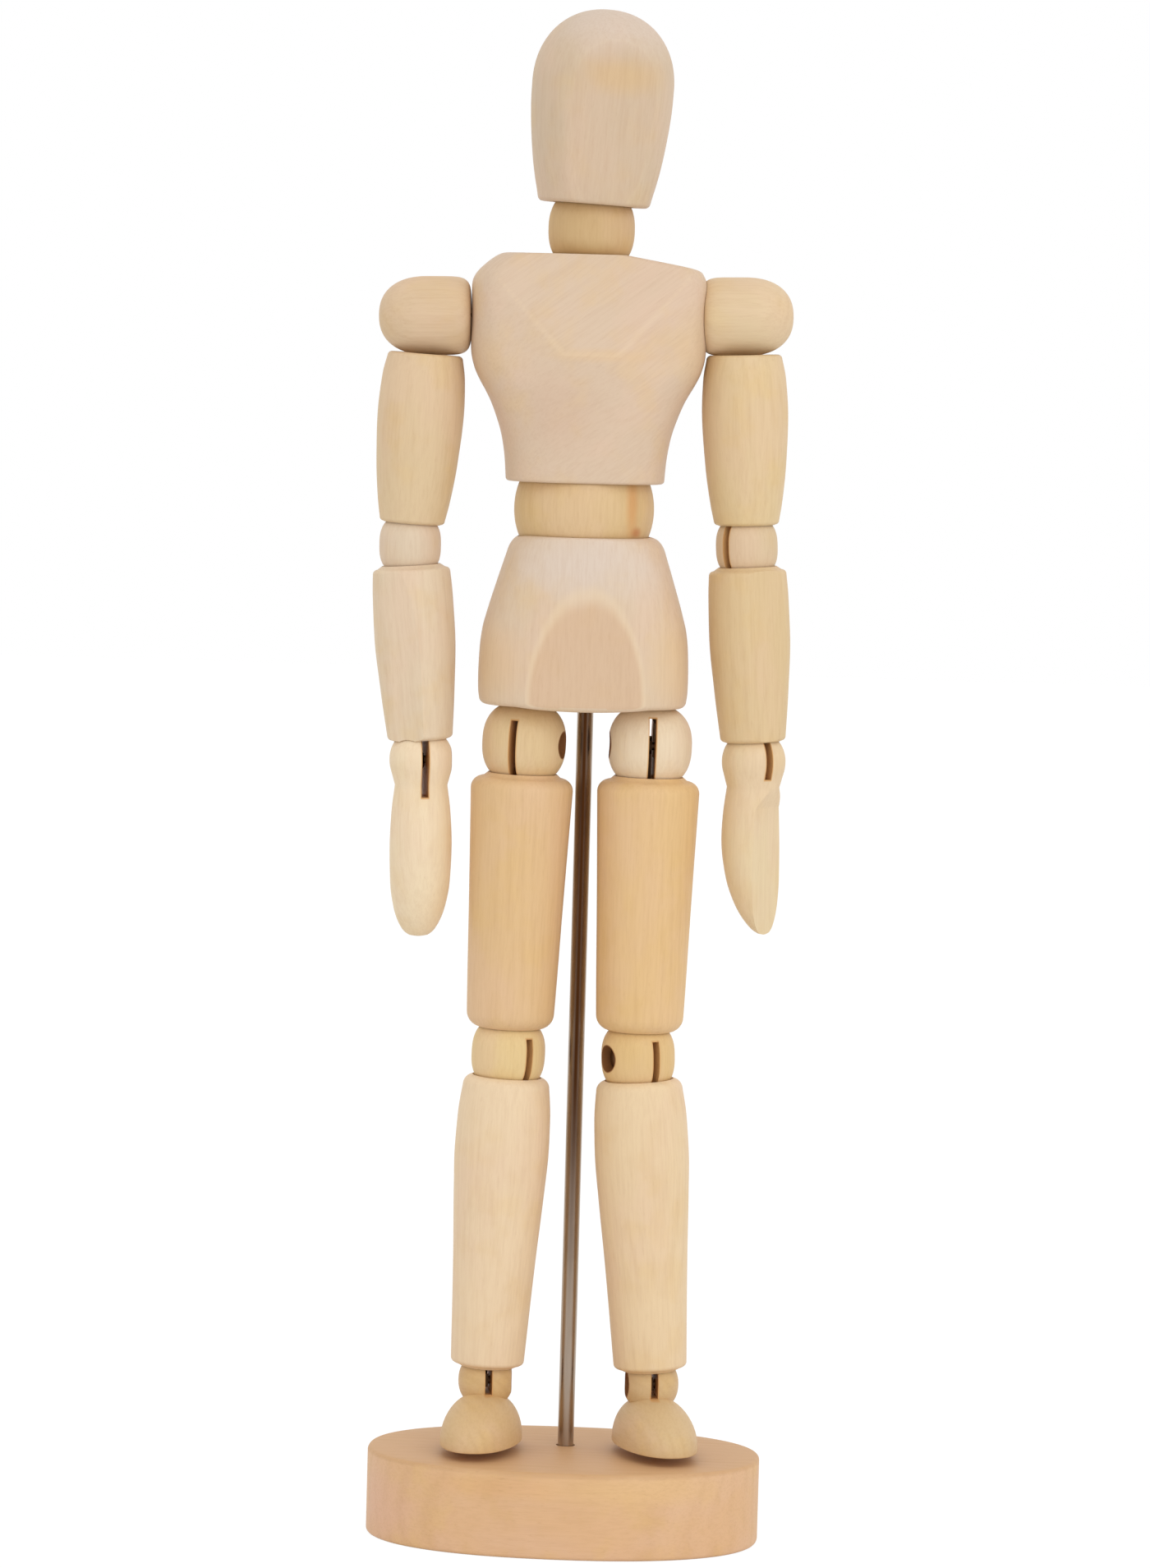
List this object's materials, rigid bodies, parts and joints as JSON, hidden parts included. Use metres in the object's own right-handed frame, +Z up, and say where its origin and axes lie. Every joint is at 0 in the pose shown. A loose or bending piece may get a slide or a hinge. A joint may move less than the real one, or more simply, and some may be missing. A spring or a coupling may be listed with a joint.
{
  "type": "artist mannequin",
  "caption": "Jointed wooden drawing figure on an oval base and steel rod, with friction ball joints at neck, waist, shoulders, elbows, wrists, hips, knees and ankles.",
  "frame": {"origin": "middle of the oval base's underside", "axes": "+Z up, the figure faces -Y, +X is towards the figure's own left hand"},
  "size_m": [0.0825, 0.054, 0.3024],
  "materials": {
    "pale_wood": "satin bare birch, faintly pink, fine straight grain",
    "cream_wood": "satin bare lime wood, warm cream, fine straight grain",
    "honey_wood": "satin bare lime wood, golden, fine straight grain",
    "base_wood": "satin bare beech, pinkish tan, mottled grain",
    "steel": "drawn bright steel"
  },
  "bodies": {
    "stand": {"base": "base_wood"},
    "rod": {"support_rod": "steel"},
    "hips": {"pelvis": "pale_wood"},
    "waist": {"waist_ball": "cream_wood"},
    "waist_core": {"waist_spring": "steel"},
    "torso": {"chest": "pale_wood", "shoulder_spring": "steel"},
    "neck": {"neck_ball": "cream_wood"},
    "neck_core": {"neck_spring": "steel"},
    "head_body": {"head": "pale_wood"},
    "right_hip": {"right_hip_ball": "pale_wood", "right_hip_pin": "steel", "right_hip_spring": "steel"},
    "right_thigh_hinge": {"right_thigh_link": "steel"},
    "right_thigh_body": {"right_thigh": "honey_wood"},
    "right_knee": {"right_knee_barrel": "cream_wood", "right_knee_pin": "steel", "right_thigh_spring": "steel"},
    "right_shin_hinge": {"right_shin_link": "steel"},
    "right_shin_body": {"right_shin": "cream_wood"},
    "right_ankle": {"right_shin_spring": "steel"},
    "right_foot_body": {"right_foot": "cream_wood", "right_ankle_pin": "steel"},
    "right_shoulder": {"right_shoulder_ball": "cream_wood", "right_shoulder_pin": "steel"},
    "right_arm_hinge": {"right_upper_arm_link": "steel"},
    "right_upper_arm_body": {"right_upper_arm": "cream_wood"},
    "right_elbow": {"right_elbow_barrel": "pale_wood", "right_elbow_pin": "steel", "right_upper_arm_spring": "steel"},
    "right_forearm_hinge": {"right_forearm_link": "steel"},
    "right_forearm_body": {"right_forearm": "cream_wood"},
    "right_wrist": {"right_forearm_spring": "steel"},
    "right_hand_body": {"right_hand": "cream_wood", "right_wrist_pin": "steel"},
    "left_hip": {"left_hip_ball": "pale_wood", "left_hip_pin": "steel", "left_hip_spring": "steel"},
    "left_thigh_hinge": {"left_thigh_link": "steel"},
    "left_thigh_body": {"left_thigh": "honey_wood"},
    "left_knee": {"left_knee_barrel": "cream_wood", "left_knee_pin": "steel", "left_thigh_spring": "steel"},
    "left_shin_hinge": {"left_shin_link": "steel"},
    "left_shin_body": {"left_shin": "cream_wood"},
    "left_ankle": {"left_shin_spring": "steel"},
    "left_foot_body": {"left_foot": "cream_wood", "left_ankle_pin": "steel"},
    "left_shoulder": {"left_shoulder_ball": "cream_wood", "left_shoulder_pin": "steel"},
    "left_arm_hinge": {"left_upper_arm_link": "steel"},
    "left_upper_arm_body": {"left_upper_arm": "cream_wood"},
    "left_elbow": {"left_elbow_barrel": "pale_wood", "left_elbow_pin": "steel", "left_upper_arm_spring": "steel"},
    "left_forearm_hinge": {"left_forearm_link": "steel"},
    "left_forearm_body": {"left_forearm": "cream_wood"},
    "left_wrist": {"left_forearm_spring": "steel"},
    "left_hand_body": {"left_hand": "cream_wood", "left_wrist_pin": "steel"}
  },
  "joints": [
    {"name": "stand_turn", "type": "hinge", "parent": "stand", "child": "rod", "pos_m": [0.00038, 0.00539, 0], "axis": [0, 0, 1], "continuous": true},
    {"name": "height_slide", "type": "slide", "parent": "rod", "child": "hips", "axis": [0, 0, 1], "range_m": [0, 0.012]},
    {"name": "waist_bend", "type": "hinge", "parent": "hips", "child": "waist", "pos_m": [-0.00097, 0.00139, 0.20442], "axis": [1, 0, 0], "range_deg": [-12, 28], "deforming": ["waist_spring"]},
    {"name": "waist_lean", "type": "hinge", "parent": "waist", "child": "waist_core", "pos_m": [-0.00097, 0.00139, 0.20442], "axis": [0, 1, 0], "range_deg": [-2, 2.4], "deforming": ["waist_spring"]},
    {"name": "waist_turn", "type": "hinge", "parent": "waist_core", "child": "torso", "pos_m": [-0.00097, 0.00139, 0.20442], "axis": [0, 0, 1], "range_deg": [-70, 70]},
    {"name": "neck_bend", "type": "hinge", "parent": "torso", "child": "neck", "pos_m": [-0.00097, 0.00139, 0.25932], "axis": [1, 0, 0], "range_deg": [-25, 25], "deforming": ["neck_spring"]},
    {"name": "neck_lean", "type": "hinge", "parent": "neck", "child": "neck_core", "pos_m": [-0.00097, 0.00139, 0.25932], "axis": [0, 1, 0], "range_deg": [-20, 20], "deforming": ["neck_spring"]},
    {"name": "head_turn", "type": "hinge", "parent": "neck_core", "child": "head_body", "pos_m": [-0.00097, 0.00139, 0.25932], "axis": [0.0523, 0, 0.9986], "range_deg": [-90, 90]},
    {"name": "right_hip_swivel", "type": "hinge", "parent": "hips", "child": "right_hip", "pos_m": [-0.01157, 0.00139, 0.15792], "axis": [-0.0244, 0, -0.9997], "range_deg": [-25, 60]},
    {"name": "right_thigh_swing", "type": "hinge", "parent": "right_hip", "child": "right_thigh_hinge", "pos_m": [-0.01157, 0.00139, 0.15792], "axis": [-0.961, 0.2756, 0.0235], "range_deg": [-11, 75]},
    {"name": "right_thigh_turn", "type": "hinge", "parent": "right_thigh_hinge", "child": "right_thigh_body", "pos_m": [-0.01157, 0.00139, 0.15792], "axis": [-0.0244, 0, -0.9997], "range_deg": [-30, 60]},
    {"name": "right_knee_swivel", "type": "hinge", "parent": "right_thigh_body", "child": "right_knee", "pos_m": [-0.01309, 0.00139, 0.09604], "axis": [-0.0244, 0, -0.9997], "range_deg": [-60, 60]},
    {"name": "right_knee_bend", "type": "hinge", "parent": "right_knee", "child": "right_shin_hinge", "pos_m": [-0.01309, 0.00139, 0.09604], "axis": [0.8086, 0.5878, -0.0268], "range_deg": [-20, 68]},
    {"name": "right_shin_turn", "type": "hinge", "parent": "right_shin_hinge", "child": "right_shin_body", "pos_m": [-0.01309, 0.00139, 0.09604], "axis": [-0.0419, 0, -0.9991], "range_deg": [-30, 60]},
    {"name": "right_ankle_turn", "type": "hinge", "parent": "right_shin_body", "child": "right_ankle", "pos_m": [-0.01583, 0.00139, 0.0305], "axis": [-0.0419, 0, -0.9991], "range_deg": [-40, 60]},
    {"name": "right_foot_rock", "type": "hinge", "parent": "right_ankle", "child": "right_foot_body", "pos_m": [-0.01583, 0.00139, 0.0305], "axis": [0.9925, 0.1219, 0], "range_deg": [-10, 4]},
    {"name": "right_shoulder_swing", "type": "hinge", "parent": "torso", "child": "right_shoulder", "pos_m": [-0.03256, 0.00139, 0.24162], "axis": [-0.9997, 0, -0.0227], "range_deg": [-60, 170], "deforming": ["shoulder_spring"]},
    {"name": "right_arm_raise", "type": "hinge", "parent": "right_shoulder", "child": "right_arm_hinge", "pos_m": [-0.03256, 0.00139, 0.24162], "axis": [0, 1, 0], "range_deg": [0, 90]},
    {"name": "right_arm_turn", "type": "hinge", "parent": "right_arm_hinge", "child": "right_upper_arm_body", "pos_m": [-0.03256, 0.00139, 0.24162], "axis": [-0.0558, 0, -0.9984], "range_deg": [-60, 60]},
    {"name": "right_elbow_swivel", "type": "hinge", "parent": "right_upper_arm_body", "child": "right_elbow", "pos_m": [-0.03509, 0.00139, 0.19639], "axis": [-0.0558, 0, -0.9984], "range_deg": [-60, 60]},
    {"name": "right_elbow_bend", "type": "hinge", "parent": "right_elbow", "child": "right_forearm_hinge", "pos_m": [-0.03509, 0.00139, 0.19639], "axis": [0, 1, 0], "range_deg": [-2, 68]},
    {"name": "right_forearm_turn", "type": "hinge", "parent": "right_forearm_hinge", "child": "right_forearm_body", "pos_m": [-0.03509, 0.00139, 0.19639], "axis": [0.0767, 0, -0.9971], "range_deg": [-60, 60]},
    {"name": "right_wrist_turn", "type": "hinge", "parent": "right_forearm_body", "child": "right_wrist", "pos_m": [-0.03183, 0.00139, 0.15402], "axis": [0.0767, 0, -0.9971], "range_deg": [-60, 60]},
    {"name": "right_hand_bend", "type": "hinge", "parent": "right_wrist", "child": "right_hand_body", "pos_m": [-0.03183, 0.00139, 0.15402], "axis": [0.9846, 0.1736, 0.0189], "range_deg": [-40, 40]},
    {"name": "left_hip_swivel", "type": "hinge", "parent": "hips", "child": "left_hip", "pos_m": [0.01333, 0.00139, 0.15792], "axis": [0.0105, 0, 0.9999], "range_deg": [-25, 60]},
    {"name": "left_thigh_swing", "type": "hinge", "parent": "left_hip", "child": "left_thigh_hinge", "pos_m": [0.01333, 0.00139, 0.15792], "axis": [-0.9986, -0.0523, 0.0105], "range_deg": [-25, 75]},
    {"name": "left_thigh_turn", "type": "hinge", "parent": "left_thigh_hinge", "child": "left_thigh_body", "pos_m": [0.01333, 0.00139, 0.15792], "axis": [0.0105, 0, 0.9999], "range_deg": [-30, 60]},
    {"name": "left_knee_swivel", "type": "hinge", "parent": "left_thigh_body", "child": "left_knee", "pos_m": [0.01268, 0.00139, 0.09603], "axis": [0.0105, 0, 0.9999], "range_deg": [-60, 60]},
    {"name": "left_knee_bend", "type": "hinge", "parent": "left_knee", "child": "left_shin_hinge", "pos_m": [0.01268, 0.00139, 0.09603], "axis": [-0.8657, -0.5, -0.0242], "range_deg": [-3, 68]},
    {"name": "left_shin_turn", "type": "hinge", "parent": "left_shin_hinge", "child": "left_shin_body", "pos_m": [0.01268, 0.00139, 0.09603], "axis": [-0.0663, 0, 0.9978], "range_deg": [-30, 60]},
    {"name": "left_ankle_turn", "type": "hinge", "parent": "left_shin_body", "child": "left_ankle", "pos_m": [0.01703, 0.00139, 0.03057], "axis": [-0.0663, 0, 0.9978], "range_deg": [-40, 60]},
    {"name": "left_foot_rock", "type": "hinge", "parent": "left_ankle", "child": "left_foot_body", "pos_m": [0.01703, 0.00139, 0.03057], "axis": [0.9903, 0.1392, 0], "range_deg": [-10, 4]},
    {"name": "left_shoulder_swing", "type": "hinge", "parent": "torso", "child": "left_shoulder", "pos_m": [0.02942, 0.00139, 0.24303], "axis": [-0.9997, 0, -0.0227], "range_deg": [-60, 170], "deforming": ["shoulder_spring"]},
    {"name": "left_arm_raise", "type": "hinge", "parent": "left_shoulder", "child": "left_arm_hinge", "pos_m": [0.02942, 0.00139, 0.24303], "axis": [0, -1, 0], "range_deg": [0, 90]},
    {"name": "left_arm_turn", "type": "hinge", "parent": "left_arm_hinge", "child": "left_upper_arm_body", "pos_m": [0.02942, 0.00139, 0.24303], "axis": [-0.0419, 0, 0.9991], "range_deg": [-60, 60]},
    {"name": "left_elbow_swivel", "type": "hinge", "parent": "left_upper_arm_body", "child": "left_elbow", "pos_m": [0.03132, 0.00139, 0.19777], "axis": [-0.0419, 0, 0.9991], "range_deg": [-60, 60]},
    {"name": "left_elbow_bend", "type": "hinge", "parent": "left_elbow", "child": "left_forearm_hinge", "pos_m": [0.03132, 0.00139, 0.19777], "axis": [0.7184, -0.6947, 0.037], "range_deg": [-9, 68]},
    {"name": "left_forearm_turn", "type": "hinge", "parent": "left_forearm_hinge", "child": "left_forearm_body", "pos_m": [0.03132, 0.00139, 0.19777], "axis": [-0.061, 0, 0.9981], "range_deg": [-60, 60]},
    {"name": "left_wrist_turn", "type": "hinge", "parent": "left_forearm_body", "child": "left_wrist", "pos_m": [0.03391, 0.00139, 0.15535], "axis": [-0.061, 0, 0.9981], "range_deg": [-60, 60]},
    {"name": "left_hand_bend", "type": "hinge", "parent": "left_wrist", "child": "left_hand_body", "pos_m": [0.03391, 0.00139, 0.15535], "axis": [0.8746, 0.4848, 0.0046], "range_deg": [-40, 40]}
  ]
}
